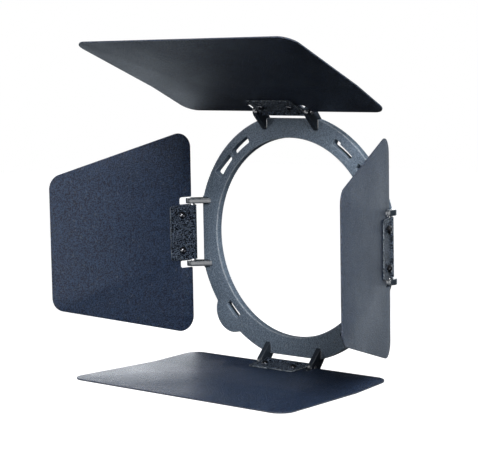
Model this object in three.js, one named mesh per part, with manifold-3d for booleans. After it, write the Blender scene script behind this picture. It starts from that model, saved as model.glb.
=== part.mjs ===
// A four-leaf barn door for theatre lighting, built piece by piece.
// Millimetres and degrees. +Z is up, -Y is the way the beam travels, X runs to the right of
// someone who faces the ring. The origin is on the ring's axis, in the ring's flat rear face.
import * as THREE from "three";
import { mergeVertices } from "three/addons/utils/BufferGeometryUtils.js";
import Module from "manifold-3d";

const wasm = await Module();
wasm.setup();

// Ring frame: a flat ring with four flats on its rim, one under each hinge.
const OPENING_RADIUS = 100;
const RING_WIDTH = 24;
const FLAT_DEPTH = 4.5;
const RING_THICKNESS = 8;
const EDGE_ROUND = 1.2;

// Through slots in the ring, and the lug that holds one of them. They start at one distance from
// the opening. Angles run from +X, over the top.
const OPENING_TO_SLOT = 8.6;
const SLOT_WIDTH = 6.8;
const SLOT_CORNER = 1.6;
const CHANNEL_WIDTH = 5;
const SLOT_FLARE = 3.2;
const LUG_RADIUS = 22.8;
const OPENING_TO_LUG_CENTRE = 13.4;
const LUG_ANGLE = -135;
const LUG_SLOT_ANGLE = 10.4;
const LONG_SLOT_ANGLE = 13.4;
const SHORT_SLOT_ANGLE = 9.6;
const UPPER_SLOT_START = 47.2;
const KEYHOLE_ANGLE = 4.2;
const LOWER_SLOT_START = -57;
const SIDE_SLOT_END = 42;
const SLOT_WEB_ANGLE = 2;

// Hinge: each leaf turns on a rod carried by two ears that stand out of the ring's front face.
const FLAT_TO_ROD = 7;
const ROD_AHEAD_OF_RING = 8;
const ROD_RADIUS = 2.5;
const ROD_CHAMFER = 0.4;
const ROD_FIT = 0.12;
const ROD_TO_TONGUE = 1;
const EAR_THICKNESS = 5.6;
const EAR_GAP = 60;
const EAR_TIP_RADIUS = 7;
const EAR_ROOT_DEPTH = 12;
const EAR_FILLET = 2;
const EAR_FILLET_SET_BACK = 2.5;
const EAR_SUNK = 0.5;

// Hinge clamp: one strip folded round the rod, with a flange on each face of the leaf.
const CLAMP_LENGTH = 56.8;
const CLAMP_SHEET = 1.5;
const CLAMP_REACH = 28.5;
const CLAMP_CORNER = 3;
const CLAMP_NECK_RADIUS = 0.75;
const KNUCKLE_FIT = 0.2;
const LEAF_GAP = 0.2;

// Leaves: 1.5 mm sheet, wider leaves above and below, narrower tapering ones at the sides.
const LEAF_SHEET = 1.5;
const LEAF_CORNER = 15;
const LEAF_EDGE_AHEAD_OF_ROD = 1.5;
const NOTCH_DEPTH = 16;
const NOTCH_CORNER = 2.5;
const NOTCH_CLEARANCE = 1.2;
const TONGUE_CLEARANCE = 0.5;
const WIDE_LEAF_HINGE_WIDTH = 253.8;
const WIDE_LEAF_OUTER_WIDTH = 272.6;
const WIDE_LEAF_REACH = 170.4;
const SIDE_LEAF_HINGE_WIDTH = 215.2;
const SIDE_LEAF_OUTER_WIDTH = 130.8;
const SIDE_LEAF_REACH = 166.6;

// The wide leaves turn slightly inwards at a crease.
const CREASE_REACH = 57.6;
const CREASE_ANGLE = 3.2;
const CREASE_RADIUS = 3;

// Fasteners: M4 button head screws with hexagon nuts.
const SCREW_SPACING = 36.6;
const SCREW_AHEAD_OF_ROD = 14;
const SCREW_RADIUS = 2;
const SCREW_HOLE_FIT = 0.3;
const HEAD_RADIUS = 3.8;
const HEAD_HEIGHT = 2.2;
const HEAD_CROWN_RADIUS = 1.9;
const HEAD_RIM = 0.45;
const THREAD_CHAMFER = 0.5;
const SOCKET_ACROSS = 2.5;
const SOCKET_DEPTH = 1.2;
const NUT_ACROSS = 7;
const NUT_HEIGHT = 3.2;
const NUT_FIT = 0.12;
const THREAD_PAST_NUT = 0.9;
const SEAT_GAP = 0.1;

// How far each leaf stands open, turned outwards from straight ahead.
const OPEN_ANGLE = { top: 26.8, bottom: 2.9, left: 14.4, right: 22 };

// Fineness of the curves.
const RIM_STEPS = 9;
const OPENING_STEPS = 72;
const ROUND_STEPS = 20;
const FASTENER_STEPS = 16;
const FOLD_STEPS = 5;
const CORNER_STEPS = 4;
const EDGE_STEPS = 2;

// How far a cutter runs past the faces it cuts through.
const OVERRUN = 1;

const HALF_TURN = 180;
const radians = THREE.MathUtils.degToRad;

// Sizes that follow from the ones above.
const rimRadius = OPENING_RADIUS + RING_WIDTH;
const flatDistance = rimRadius - FLAT_DEPTH;
const hingeDistance = flatDistance + FLAT_TO_ROD;
const earRootDistance = flatDistance - EAR_ROOT_DEPTH;
const slotInnerRadius = OPENING_RADIUS + OPENING_TO_SLOT;
const rodForward = RING_THICKNESS + ROD_AHEAD_OF_RING;
const earCentre = (EAR_GAP + EAR_THICKNESS) / 2;
const earOuterFace = EAR_GAP / 2 + EAR_THICKNESS;
const knuckleInner = ROD_RADIUS + KNUCKLE_FIT;
const flangeInner = LEAF_SHEET / 2 + LEAF_GAP;
const flangeOuter = flangeInner + CLAMP_SHEET;
const screwPlaces = [-SCREW_SPACING / 2, SCREW_SPACING / 2];
const wideLeaf = {
  hingeWidth: WIDE_LEAF_HINGE_WIDTH,
  outerWidth: WIDE_LEAF_OUTER_WIDTH,
  reach: WIDE_LEAF_REACH,
  creaseReach: CREASE_REACH,
  creaseAngle: CREASE_ANGLE,
};
const sideLeaf = {
  hingeWidth: SIDE_LEAF_HINGE_WIDTH,
  outerWidth: SIDE_LEAF_OUTER_WIDTH,
  reach: SIDE_LEAF_REACH,
  creaseReach: 0,
  creaseAngle: 0,
};

// The closed mesh of a geometry as a solid that can be joined and cut.
function solid(geometry) {
  const bare = geometry.clone();
  bare.deleteAttribute("normal");
  bare.deleteAttribute("uv");
  const merged = mergeVertices(bare, 1e-4);
  return new wasm.Manifold(
    new wasm.Mesh({
      numProp: 3,
      vertProperties: new Float32Array(merged.attributes.position.array),
      triVerts: new Uint32Array(merged.index.array),
    }),
  );
}

// The solid as a geometry with flat faces.
function geometryOf(body) {
  const mesh = body.getMesh();
  const geometry = new THREE.BufferGeometry();
  geometry.setAttribute("position", new THREE.BufferAttribute(mesh.vertProperties, 3));
  geometry.setIndex(new THREE.BufferAttribute(mesh.triVerts, 1));
  const flat = geometry.toNonIndexed();
  flat.computeVertexNormals();
  return flat;
}

// A closed outline through corners given as [x, y, radius], each rounded by an arc.
function roundedOutline(corners) {
  const shape = new THREE.Shape();
  corners.forEach(([x, y, radius], i) => {
    const corner = new THREE.Vector2(x, y);
    const before = new THREE.Vector2(...corners.at(i - 1).slice(0, 2)).sub(corner).normalize();
    const after = new THREE.Vector2(...corners[(i + 1) % corners.length].slice(0, 2));
    after.sub(corner).normalize();
    const half = Math.acos(THREE.MathUtils.clamp(before.dot(after), -1, 1)) / 2;
    const start = corner.clone().addScaledVector(before, radius / Math.tan(half));
    const middle = before.clone().add(after).normalize();
    const centre = corner.clone().addScaledVector(middle, radius / Math.sin(half));
    const end = corner.clone().addScaledVector(after, radius / Math.tan(half));
    const from = start.clone().sub(centre).angle();
    const to = end.clone().sub(centre).angle();
    const clockwise = before.cross(after) > 0;
    if (i === 0) shape.moveTo(start.x, start.y);
    else shape.lineTo(start.x, start.y);
    shape.absarc(centre.x, centre.y, radius, from, to, clockwise);
  });
  return shape;
}

// A prism of the outline, from z = low to z = high.
function prism(shape, low, high, curveSegments = CORNER_STEPS) {
  const geometry = new THREE.ExtrudeGeometry(shape, {
    depth: high - low,
    bevelEnabled: false,
    curveSegments,
  });
  return geometry.translate(0, 0, low);
}

// A round rod or cutter along X.
function barAlongX(radius, length) {
  return new THREE.CylinderGeometry(radius, radius, length, ROUND_STEPS).rotateZ(Math.PI / 2);
}

// The ring lies in the XZ plane: its outlines are drawn in XY and stood up here.
function standUp(geometry) {
  return geometry.rotateX(Math.PI / 2);
}

// A plate of the ring's thickness with rounded rims, its rear face at y = 0.
function ringPlate(shape, steps) {
  const geometry = new THREE.ExtrudeGeometry(shape, {
    depth: RING_THICKNESS - 2 * EDGE_ROUND,
    bevelThickness: EDGE_ROUND,
    bevelSize: EDGE_ROUND,
    bevelOffset: -EDGE_ROUND,
    bevelSegments: EDGE_STEPS,
    curveSegments: steps,
  });
  return solid(standUp(geometry.translate(0, 0, EDGE_ROUND)));
}

// The rim is a circle cut by four flats, drawn as four arcs whose ends are joined by the flats.
function rimShape() {
  const half = Math.acos(flatDistance / rimRadius);
  const shape = new THREE.Shape();
  for (let side = 0; side < 4; side++) {
    const middle = (side * Math.PI) / 2;
    shape.absarc(0, 0, rimRadius, middle + half, middle + Math.PI / 2 - half, false);
  }
  return shape;
}

// Cutter for the opening, flared at both ends so that its edges are rounded.
function openingCutter() {
  const profile = new THREE.Path();
  const flared = OPENING_RADIUS + EDGE_ROUND;
  profile.moveTo(0, -OVERRUN);
  profile.lineTo(flared, -OVERRUN);
  profile.lineTo(flared, 0);
  profile.absarc(flared, EDGE_ROUND, EDGE_ROUND, -Math.PI / 2, -Math.PI, true);
  profile.absarc(flared, RING_THICKNESS - EDGE_ROUND, EDGE_ROUND, Math.PI, Math.PI / 2, true);
  profile.lineTo(flared, RING_THICKNESS + OVERRUN);
  profile.lineTo(0, RING_THICKNESS + OVERRUN);
  const lathe = new THREE.LatheGeometry(profile.getPoints(EDGE_STEPS), OPENING_STEPS);
  return solid(lathe.rotateX(Math.PI));
}

// A slot that follows the ring from one angle over some length, with rounded corners. With a
// flare, its outer edge is straight and ends that much further out than it starts.
function slotCutter(start, length, width = SLOT_WIDTH, flare = 0) {
  const shape = new THREE.Shape();
  const point = (radius, angle) => [radius * Math.cos(angle), radius * Math.sin(angle)];
  const from = radians(start);
  const to = radians(start + length);
  const low = slotInnerRadius;
  const high = slotInnerRadius + width;
  const end = high + flare;
  const inner = SLOT_CORNER / low;
  const outer = SLOT_CORNER / high;
  shape.moveTo(...point(high, from + outer));
  if (flare) shape.lineTo(...point(end, to - outer));
  else shape.absarc(0, 0, high, from + outer, to - outer, false);
  shape.quadraticCurveTo(...point(end, to), ...point(end - SLOT_CORNER, to));
  shape.lineTo(...point(low + SLOT_CORNER, to));
  shape.quadraticCurveTo(...point(low, to), ...point(low, to - inner));
  shape.absarc(0, 0, low, to - inner, from + inner, true);
  shape.quadraticCurveTo(...point(low, from), ...point(low + SLOT_CORNER, from));
  shape.lineTo(...point(high - SLOT_CORNER, from));
  shape.quadraticCurveTo(...point(high, from), ...point(high, from + outer));
  return solid(standUp(prism(shape, -OVERRUN, RING_THICKNESS + OVERRUN)));
}

// All the slots of the ring. The one at the upper right is a keyhole: a wide head that runs
// into a narrower channel. Its twin at the upper left is plain, and the next one down is flared.
function slotCutters() {
  const upperEnd = UPPER_SLOT_START + LONG_SLOT_ANGLE;
  const leftStart = HALF_TURN - UPPER_SLOT_START + SLOT_WEB_ANGLE;
  return [
    slotCutter(UPPER_SLOT_START, LONG_SLOT_ANGLE, CHANNEL_WIDTH),
    slotCutter(upperEnd - KEYHOLE_ANGLE, KEYHOLE_ANGLE),
    slotCutter(HALF_TURN - upperEnd, LONG_SLOT_ANGLE),
    slotCutter(leftStart, LONG_SLOT_ANGLE, SLOT_WIDTH, SLOT_FLARE),
    slotCutter(SIDE_SLOT_END - SHORT_SLOT_ANGLE, SHORT_SLOT_ANGLE),
    slotCutter(LOWER_SLOT_START, LONG_SLOT_ANGLE),
    slotCutter(LUG_ANGLE - LUG_SLOT_ANGLE / 2, LUG_SLOT_ANGLE),
  ];
}

// The lug is a round tab that swells out of the rim.
function lug() {
  const shape = new THREE.Shape();
  const angle = radians(LUG_ANGLE);
  const reach = OPENING_RADIUS + OPENING_TO_LUG_CENTRE;
  shape.absarc(reach * Math.cos(angle), reach * Math.sin(angle), LUG_RADIUS, 0, 2 * Math.PI, false);
  return ringPlate(shape, ROUND_STEPS);
}

// One pair of ears, made for the hinge at the top. Its side view is a triangle with a round
// tip about the rod: a slope up from the ring's face, the tip, and a slope back to the rim.
function earPair() {
  const rod = new THREE.Vector2(-rodForward, hingeDistance);
  const front = new THREE.Vector2(-RING_THICKNESS, earRootDistance);
  const rear = new THREE.Vector2(-EDGE_ROUND, flatDistance - EAR_SUNK);
  const tangent = (from, side) => {
    const reach = from.clone().sub(rod);
    return reach.angle() + side * Math.acos(EAR_TIP_RADIUS / reach.length());
  };
  const shape = new THREE.Shape();
  const rise = tangent(rear, 1);
  shape.moveTo(rear.x, rear.y);
  shape.lineTo(rod.x + EAR_TIP_RADIUS * Math.cos(rise), rod.y + EAR_TIP_RADIUS * Math.sin(rise));
  shape.absarc(rod.x, rod.y, EAR_TIP_RADIUS, rise, tangent(front, -1), false);
  shape.lineTo(front.x, front.y);
  shape.lineTo(front.x + EDGE_ROUND, front.y);
  const profile = prism(shape, -EAR_THICKNESS / 2, EAR_THICKNESS / 2, ROUND_STEPS / 4);
  const sideways = new THREE.Matrix4().makeBasis(
    new THREE.Vector3(0, 1, 0),
    new THREE.Vector3(0, 0, 1),
    new THREE.Vector3(1, 0, 0),
  );
  profile.applyMatrix4(sideways);
  const ear = solid(profile).add(earFillet(1)).add(earFillet(-1));
  return ear.translate([earCentre, 0, 0]).add(ear.translate([-earCentre, 0, 0]));
}

// The concave fillet in the corner between one side of an ear and the ring's face.
function earFillet(side) {
  const x = (side * EAR_THICKNESS) / 2;
  const y = -RING_THICKNESS;
  const shape = new THREE.Shape();
  shape.moveTo(x - side * EAR_SUNK, y + EAR_SUNK);
  shape.lineTo(x + side * EAR_FILLET, y + EAR_SUNK);
  shape.absarc(
    x + side * EAR_FILLET,
    y - EAR_FILLET,
    EAR_FILLET,
    Math.PI / 2,
    side > 0 ? Math.PI : 0,
    side < 0,
  );
  shape.lineTo(x - side * EAR_SUNK, y - EAR_FILLET);
  const start = earRootDistance + EAR_FILLET_SET_BACK;
  return solid(prism(shape, start, flatDistance - EDGE_ROUND, EDGE_STEPS));
}

function ringFrame() {
  let frame = ringPlate(rimShape(), RIM_STEPS).add(lug());
  frame = frame.subtract(openingCutter());
  for (const cutter of slotCutters()) frame = frame.subtract(cutter);
  const bore = solid(barAlongX(ROD_RADIUS + ROD_FIT, 2 * (earOuterFace + OVERRUN)));
  const ears = earPair().subtract(bore.translate([0, -rodForward, hingeDistance]));
  for (let side = 0; side < 4; side++) frame = frame.add(ears.rotate([0, 90 * side, 0]));
  return geometryOf(frame);
}

// A rod along X with chamfered ends, flush with the ears' outer faces.
function hingeRod() {
  const profile = [
    [0, -earOuterFace],
    [ROD_RADIUS - ROD_CHAMFER, -earOuterFace],
    [ROD_RADIUS, -earOuterFace + ROD_CHAMFER],
    [ROD_RADIUS, earOuterFace - ROD_CHAMFER],
    [ROD_RADIUS - ROD_CHAMFER, earOuterFace],
    [0, earOuterFace],
  ];
  const points = profile.map(([x, y]) => new THREE.Vector2(x, y));
  return geometryOf(solid(new THREE.LatheGeometry(points, ROUND_STEPS).rotateZ(Math.PI / 2)));
}

// A leaf and its clamp are drawn with the rod along X and the leaf reaching along -Y, straight
// ahead. A side view is drawn with its x along the leaf and its y outwards, then swept along X.
function sweepSideView(shape, width, steps) {
  const geometry = prism(shape, -width / 2, width / 2, steps);
  const sideways = new THREE.Matrix4().makeBasis(
    new THREE.Vector3(0, -1, 0),
    new THREE.Vector3(0, 0, 1),
    new THREE.Vector3(-1, 0, 0),
  );
  return solid(geometry.applyMatrix4(sideways));
}

// The holes for the two screws that pinch clamp and leaf together.
function drillForScrews(body) {
  const radius = SCREW_RADIUS + SCREW_HOLE_FIT;
  const depth = 4 * flangeOuter;
  const drill = solid(new THREE.CylinderGeometry(radius, radius, depth, ROUND_STEPS).rotateX(Math.PI / 2));
  let drilled = body;
  for (const x of screwPlaces) drilled = drilled.subtract(drill.translate([x, -SCREW_AHEAD_OF_ROD, 0]));
  return drilled;
}

// One strip folded round the rod: a flange, a neck, the knuckle, a neck and the other flange.
function hingeClamp() {
  const knuckleOuter = knuckleInner + CLAMP_SHEET;
  const neckInner = CLAMP_NECK_RADIUS;
  const neckOuter = CLAMP_NECK_RADIUS + CLAMP_SHEET;
  const neckOffset = flangeOuter + CLAMP_NECK_RADIUS;
  const neckReach = Math.sqrt((knuckleOuter + neckInner) ** 2 - neckOffset ** 2);
  const turn = Math.atan2(neckOffset, -neckReach);
  const side = new THREE.Shape();
  side.moveTo(CLAMP_REACH, -flangeOuter);
  side.lineTo(neckReach, -flangeOuter);
  side.absarc(neckReach, -neckOffset, neckInner, Math.PI / 2, turn, false);
  side.absarc(0, 0, knuckleOuter, turn - Math.PI, Math.PI - turn, true);
  side.absarc(neckReach, neckOffset, neckInner, -turn, -Math.PI / 2, false);
  side.lineTo(CLAMP_REACH, flangeOuter);
  side.lineTo(CLAMP_REACH, flangeInner);
  side.absarc(neckReach, neckOffset, neckOuter, -Math.PI / 2, -turn, true);
  side.absarc(0, 0, knuckleInner, Math.PI - turn, turn - Math.PI, false);
  side.absarc(neckReach, -neckOffset, neckOuter, turn, Math.PI / 2, true);
  side.lineTo(CLAMP_REACH, -flangeInner);
  const strip = sweepSideView(side, CLAMP_LENGTH, FOLD_STEPS);
  const half = CLAMP_LENGTH / 2;
  const plan = roundedOutline([
    [-half, knuckleOuter + OVERRUN, 0],
    [-half, -CLAMP_REACH, CLAMP_CORNER],
    [half, -CLAMP_REACH, CLAMP_CORNER],
    [half, knuckleOuter + OVERRUN, 0],
  ]);
  const trimmed = strip.intersect(solid(prism(plan, -2 * knuckleOuter, 2 * knuckleOuter)));
  return geometryOf(drillForScrews(trimmed));
}

// The outline of a leaf, laid flat: two long slopes from the hinge edge to the outer edge, a
// notch round each ear, and between the notches the tongue that the clamp holds.
function leafOutline(size, outerReach) {
  const tongue = EAR_GAP / 2 - TONGUE_CLEARANCE;
  const notch = earOuterFace + NOTCH_CLEARANCE;
  const right = [
    [tongue, -(ROD_RADIUS + ROD_TO_TONGUE), 0],
    [tongue, -NOTCH_DEPTH, NOTCH_CORNER / 2],
    [notch, -NOTCH_DEPTH, NOTCH_CORNER],
    [notch, -LEAF_EDGE_AHEAD_OF_ROD, NOTCH_CORNER / 2],
    [size.hingeWidth / 2, -LEAF_EDGE_AHEAD_OF_ROD, LEAF_CORNER],
    [size.outerWidth / 2, -outerReach, LEAF_CORNER],
  ];
  const left = right.map(([x, y, radius]) => [-x, y, radius]).reverse();
  return roundedOutline([...right, ...left]);
}

// The side view of a sheet that turns inwards by the crease angle at its crease. It is longer
// than the leaf, whose outline trims it.
function creasedSheet(size) {
  const half = LEAF_SHEET / 2;
  const angle = radians(size.creaseAngle);
  const middle = CREASE_RADIUS + half;
  const away = new THREE.Vector2(Math.cos(angle), -Math.sin(angle)).multiplyScalar(size.reach);
  const across = new THREE.Vector2(Math.sin(angle), Math.cos(angle));
  const bend = new THREE.Vector2(size.creaseReach, -middle);
  const outerEnd = bend.clone().addScaledVector(across, middle + half).add(away);
  const innerEnd = bend.clone().addScaledVector(across, middle - half).add(away);
  const side = new THREE.Shape();
  side.moveTo(0, half);
  side.lineTo(size.creaseReach, half);
  side.absarc(bend.x, bend.y, middle + half, Math.PI / 2, Math.PI / 2 - angle, true);
  side.lineTo(outerEnd.x, outerEnd.y);
  side.lineTo(innerEnd.x, innerEnd.y);
  side.absarc(bend.x, bend.y, middle - half, Math.PI / 2 - angle, Math.PI / 2, false);
  side.lineTo(0, -half);
  return side;
}

function leaf(size) {
  const angle = radians(size.creaseAngle);
  const outerReach = size.creaseReach + (size.reach - size.creaseReach) * Math.cos(angle);
  const rise = size.reach * Math.sin(angle) + LEAF_SHEET;
  const outline = leafOutline(size, outerReach);
  if (!angle) return geometryOf(drillForScrews(solid(prism(outline, -LEAF_SHEET / 2, LEAF_SHEET / 2))));
  const sheet = sweepSideView(creasedSheet(size), 2 * size.outerWidth, 1);
  return geometryOf(drillForScrews(sheet.intersect(solid(prism(outline, -rise, rise)))));
}

// Both fasteners stand along Z, their seats on the clamp's flanges: the head on the inner face
// of the leaf, the nut on its outer face.
function clampScrew() {
  const seat = -(flangeOuter + SEAT_GAP);
  const tip = flangeOuter + SEAT_GAP + NUT_HEIGHT + THREAD_PAST_NUT;
  const crown = seat - HEAD_HEIGHT;
  const profile = new THREE.Path();
  profile.moveTo(0, crown);
  profile.lineTo(HEAD_CROWN_RADIUS, crown);
  profile.quadraticCurveTo(HEAD_RADIUS - HEAD_RIM, crown, HEAD_RADIUS, seat - HEAD_RIM);
  profile.lineTo(HEAD_RADIUS, seat);
  profile.lineTo(SCREW_RADIUS, seat);
  profile.lineTo(SCREW_RADIUS, tip - THREAD_CHAMFER);
  profile.lineTo(SCREW_RADIUS - THREAD_CHAMFER, tip);
  profile.lineTo(0, tip);
  const turned = new THREE.LatheGeometry(profile.getPoints(EDGE_STEPS + 1), FASTENER_STEPS);
  const body = solid(turned.rotateX(Math.PI / 2));
  const socketRadius = SOCKET_ACROSS / Math.sqrt(3);
  const socket = new THREE.CylinderGeometry(socketRadius, socketRadius, 2 * SOCKET_DEPTH, 6);
  socket.rotateX(Math.PI / 2).translate(0, 0, crown);
  return geometryOf(body.subtract(solid(socket)));
}

function clampNut() {
  const corner = NUT_ACROSS / Math.sqrt(3);
  const chamfer = corner - NUT_ACROSS / 2;
  const low = flangeOuter + SEAT_GAP;
  const high = low + NUT_HEIGHT;
  const bore = SCREW_RADIUS + NUT_FIT;
  const turned = [
    [bore, low],
    [corner - chamfer, low],
    [corner, low + chamfer / 2],
    [corner, high - chamfer / 2],
    [corner - chamfer, high],
    [bore, high],
    [bore, low],
  ];
  const points = turned.map(([x, y]) => new THREE.Vector2(x, y));
  const ring = solid(new THREE.LatheGeometry(points, FASTENER_STEPS).rotateX(Math.PI / 2));
  const hexagon = new THREE.CylinderGeometry(corner, corner, 2 * high, 6).rotateX(Math.PI / 2);
  return geometryOf(ring.intersect(solid(hexagon)));
}

const moulded = new THREE.MeshStandardMaterial({ color: 0x4a5158, roughness: 0.6, metalness: 0 });
const powderCoat = new THREE.MeshStandardMaterial({ color: 0x2f3640, roughness: 0.65, metalness: 0.1 });
const wrinkleCoat = new THREE.MeshStandardMaterial({ color: 0x23282e, roughness: 0.5, metalness: 0.1 });
const steel = new THREE.MeshStandardMaterial({ color: 0x9a9c9e, roughness: 0.35, metalness: 1 });
const blackSteel = new THREE.MeshStandardMaterial({ color: 0x0c0d0f, roughness: 0.3, metalness: 0.8 });

function piece(name, geometry, material) {
  const mesh = new THREE.Mesh(geometry, material);
  mesh.name = name;
  return mesh;
}

const barnDoor = new THREE.Group();
barnDoor.add(piece("ring_frame", ringFrame(), moulded));

const sides = [
  { side: "top", turn: 0, size: wideLeaf },
  { side: "right", turn: 90, size: sideLeaf },
  { side: "bottom", turn: HALF_TURN, size: wideLeaf },
  { side: "left", turn: -90, size: sideLeaf },
];
for (const { side, turn, size } of sides) {
  const station = new THREE.Group();
  station.rotation.y = radians(turn);
  const rod = piece(side + "_hinge_rod", hingeRod(), steel);
  rod.position.set(0, -rodForward, hingeDistance);
  const hinge = new THREE.Group();
  hinge.position.copy(rod.position);
  hinge.rotation.x = -radians(OPEN_ANGLE[side]);
  hinge.add(piece(side + "_leaf", leaf(size), powderCoat));
  hinge.add(piece(side + "_hinge_clamp", hingeClamp(), wrinkleCoat));
  screwPlaces.forEach((x, i) => {
    const mark = "ab"[i];
    const screw = piece(side + "_clamp_screw_" + mark, clampScrew(), blackSteel);
    const nut = piece(side + "_clamp_nut_" + mark, clampNut(), blackSteel);
    screw.position.set(x, -SCREW_AHEAD_OF_ROD, 0);
    nut.position.copy(screw.position);
    hinge.add(screw, nut);
  });
  station.add(rod, hinge);
  barnDoor.add(station);
}

export default barnDoor;
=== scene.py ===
# %% [markdown]
# # A four-leaf barn door
#
# A barn door shapes a theatre beam. A flat moulded ring carries four sheet-metal leaves. Each
# leaf is gripped by a strip that is folded round a steel rod, and two screws pinch the strip so
# tight that the leaf stays where it is put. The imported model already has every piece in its
# place. Here each piece is made again at the same sizes, with rounded edges that catch the
# light, and gets a finish of its own.

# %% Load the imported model
import math

import bmesh
import bpy
from mathutils import Matrix, Vector


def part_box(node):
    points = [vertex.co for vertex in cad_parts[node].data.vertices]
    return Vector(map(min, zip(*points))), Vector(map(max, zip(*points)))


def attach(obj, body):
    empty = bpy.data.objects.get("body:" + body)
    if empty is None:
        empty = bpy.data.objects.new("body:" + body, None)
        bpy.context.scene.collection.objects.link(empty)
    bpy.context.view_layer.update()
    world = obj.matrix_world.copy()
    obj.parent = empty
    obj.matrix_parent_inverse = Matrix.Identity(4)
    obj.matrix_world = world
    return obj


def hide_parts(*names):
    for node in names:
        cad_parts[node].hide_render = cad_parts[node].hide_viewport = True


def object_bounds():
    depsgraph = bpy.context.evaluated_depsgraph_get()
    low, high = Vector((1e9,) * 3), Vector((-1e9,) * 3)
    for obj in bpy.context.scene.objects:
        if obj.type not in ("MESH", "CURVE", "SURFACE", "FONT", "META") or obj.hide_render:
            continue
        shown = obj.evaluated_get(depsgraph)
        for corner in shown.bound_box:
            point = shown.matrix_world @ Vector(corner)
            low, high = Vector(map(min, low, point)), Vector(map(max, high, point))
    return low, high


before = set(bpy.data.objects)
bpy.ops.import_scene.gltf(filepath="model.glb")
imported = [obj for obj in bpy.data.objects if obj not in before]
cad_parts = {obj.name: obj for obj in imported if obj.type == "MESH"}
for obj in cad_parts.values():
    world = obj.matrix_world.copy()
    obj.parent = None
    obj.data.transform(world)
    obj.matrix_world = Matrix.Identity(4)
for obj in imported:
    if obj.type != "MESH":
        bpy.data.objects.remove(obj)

cad_low, cad_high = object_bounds()
print("packed box, mm:", [round(1000 * side) for side in cad_high - cad_low])

# %% [markdown]
# ## Camera
#
# The camera stands to the right of the ring and a little above it. Its distance and its long lens
# were found by matching the corners of the leaves with the photograph. A look direction, a
# distance and a small roll are easier to read than a matrix, so the matrix is made from them.

# %% Camera
camera_azimuth = math.radians(41.47)
camera_elevation = math.radians(5.98)
camera_roll = math.radians(-1.05)
camera_distance = 1.6276
camera_aim = Vector((-0.0437, -0.0369, 0.0124))
camera_lens = 122.44
film_width = 36

towards_camera = Vector((
    math.sin(camera_azimuth) * math.cos(camera_elevation),
    -math.cos(camera_azimuth) * math.cos(camera_elevation),
    math.sin(camera_elevation),
))
camera_data = bpy.data.cameras.new("camera")
camera_data.lens = camera_lens
camera_data.sensor_width = film_width
camera = bpy.data.objects.new("camera", camera_data)
bpy.context.scene.collection.objects.link(camera)
upright = towards_camera.to_track_quat("Z", "Y").to_matrix().to_4x4()
camera.matrix_world = (
    Matrix.Translation(camera_aim + camera_distance * towards_camera)
    @ upright
    @ Matrix.Rotation(camera_roll, 4, "Z")
)
bpy.context.scene.camera = camera
print("camera at", [round(v, 3) for v in camera.matrix_world.translation])

# %% [markdown]
# ## Studio
#
# The photograph was taken in front of a white backdrop. Dark coated sheet shows little colour of
# its own, and much of what is seen on it is its surroundings, mirrored at a flat angle. So the
# world is white for the camera, mirrored as white from the left rear and as dark from elsewhere,
# and it sheds only a little light. A black card, which only reflections see, stands just behind
# the opening. It turns one end of a leaf black while the other end still mirrors white.
#
# The shadows of the top and the right leaf on the ring say where the main light stood: to the
# right of the camera and above it. A fill stands to the left, and weaker lights stand above and
# behind. Two low strips in front of the ring put the shine on ears, edges and wrinkles. Matt
# surfaces don't see the strips, so they leave the tones of the leaves alone.

# %% An empty world
def new_node(tree, kind, **settings):
    """A shader node with its properties and inputs set by name."""
    node = tree.nodes.new(kind)
    for name, value in settings.items():
        if name.startswith("in_"):
            node.inputs[name[3:].replace("_", " ")].default_value = value
        else:
            setattr(node, name, value)
    return node


def ranged(tree, source, low, high, start=0.0, stop=1.0, blend="LINEAR"):
    """source from start..stop to low..high."""
    node = new_node(tree, "ShaderNodeMapRange", interpolation_type=blend, in_From_Min=start,
                    in_From_Max=stop, in_To_Min=low, in_To_Max=high)
    tree.links.new(source, node.inputs["Value"])
    return node.outputs["Result"]


world = bpy.data.worlds.new("white surroundings")
world.use_nodes = True
bpy.context.scene.world = world
tree = world.node_tree
tree.nodes.clear()
print("world:", world.name)

# %% What the world shows and how much light it sheds
white_side = (-0.5, 0.85, 0.0)
soft_light = 0.035
cool_white, plain_white = (0.80, 0.90, 1, 1), (1, 1, 1, 1)

direction = new_node(tree, "ShaderNodeTexCoord").outputs["Generated"]
towards_rear = new_node(tree, "ShaderNodeVectorMath", operation="DOT_PRODUCT")
towards_rear.inputs[1].default_value = white_side
tree.links.new(direction, towards_rear.inputs[0])
mirrored = ranged(tree, towards_rear.outputs["Value"], low=0.008, high=1.0, start=0.35, stop=0.8,
                  blend="SMOOTHSTEP")
rays = new_node(tree, "ShaderNodeLightPath")
brightness = new_node(tree, "ShaderNodeMix", in_A=soft_light)
tree.links.new(rays.outputs["Is Glossy Ray"], brightness.inputs["Factor"])
tree.links.new(mirrored, brightness.inputs["B"])
camera_white = new_node(tree, "ShaderNodeMath", operation="MAXIMUM")
tree.links.new(rays.outputs["Is Camera Ray"], camera_white.inputs[0])
tree.links.new(brightness.outputs["Result"], camera_white.inputs[1])
backdrop = new_node(tree, "ShaderNodeBackground")
shade = new_node(tree, "ShaderNodeMix", data_type="RGBA")
shade.inputs[6].default_value, shade.inputs[7].default_value = cool_white, plain_white
tree.links.new(rays.outputs["Is Camera Ray"], shade.inputs["Factor"])
tree.links.new(shade.outputs[2], backdrop.inputs["Color"])
tree.links.new(camera_white.outputs[0], backdrop.inputs["Strength"])
world_output = new_node(tree, "ShaderNodeOutputWorld")
tree.links.new(backdrop.outputs[0], world_output.inputs["Surface"])
print("the world has", len(tree.nodes), "nodes")

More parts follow.
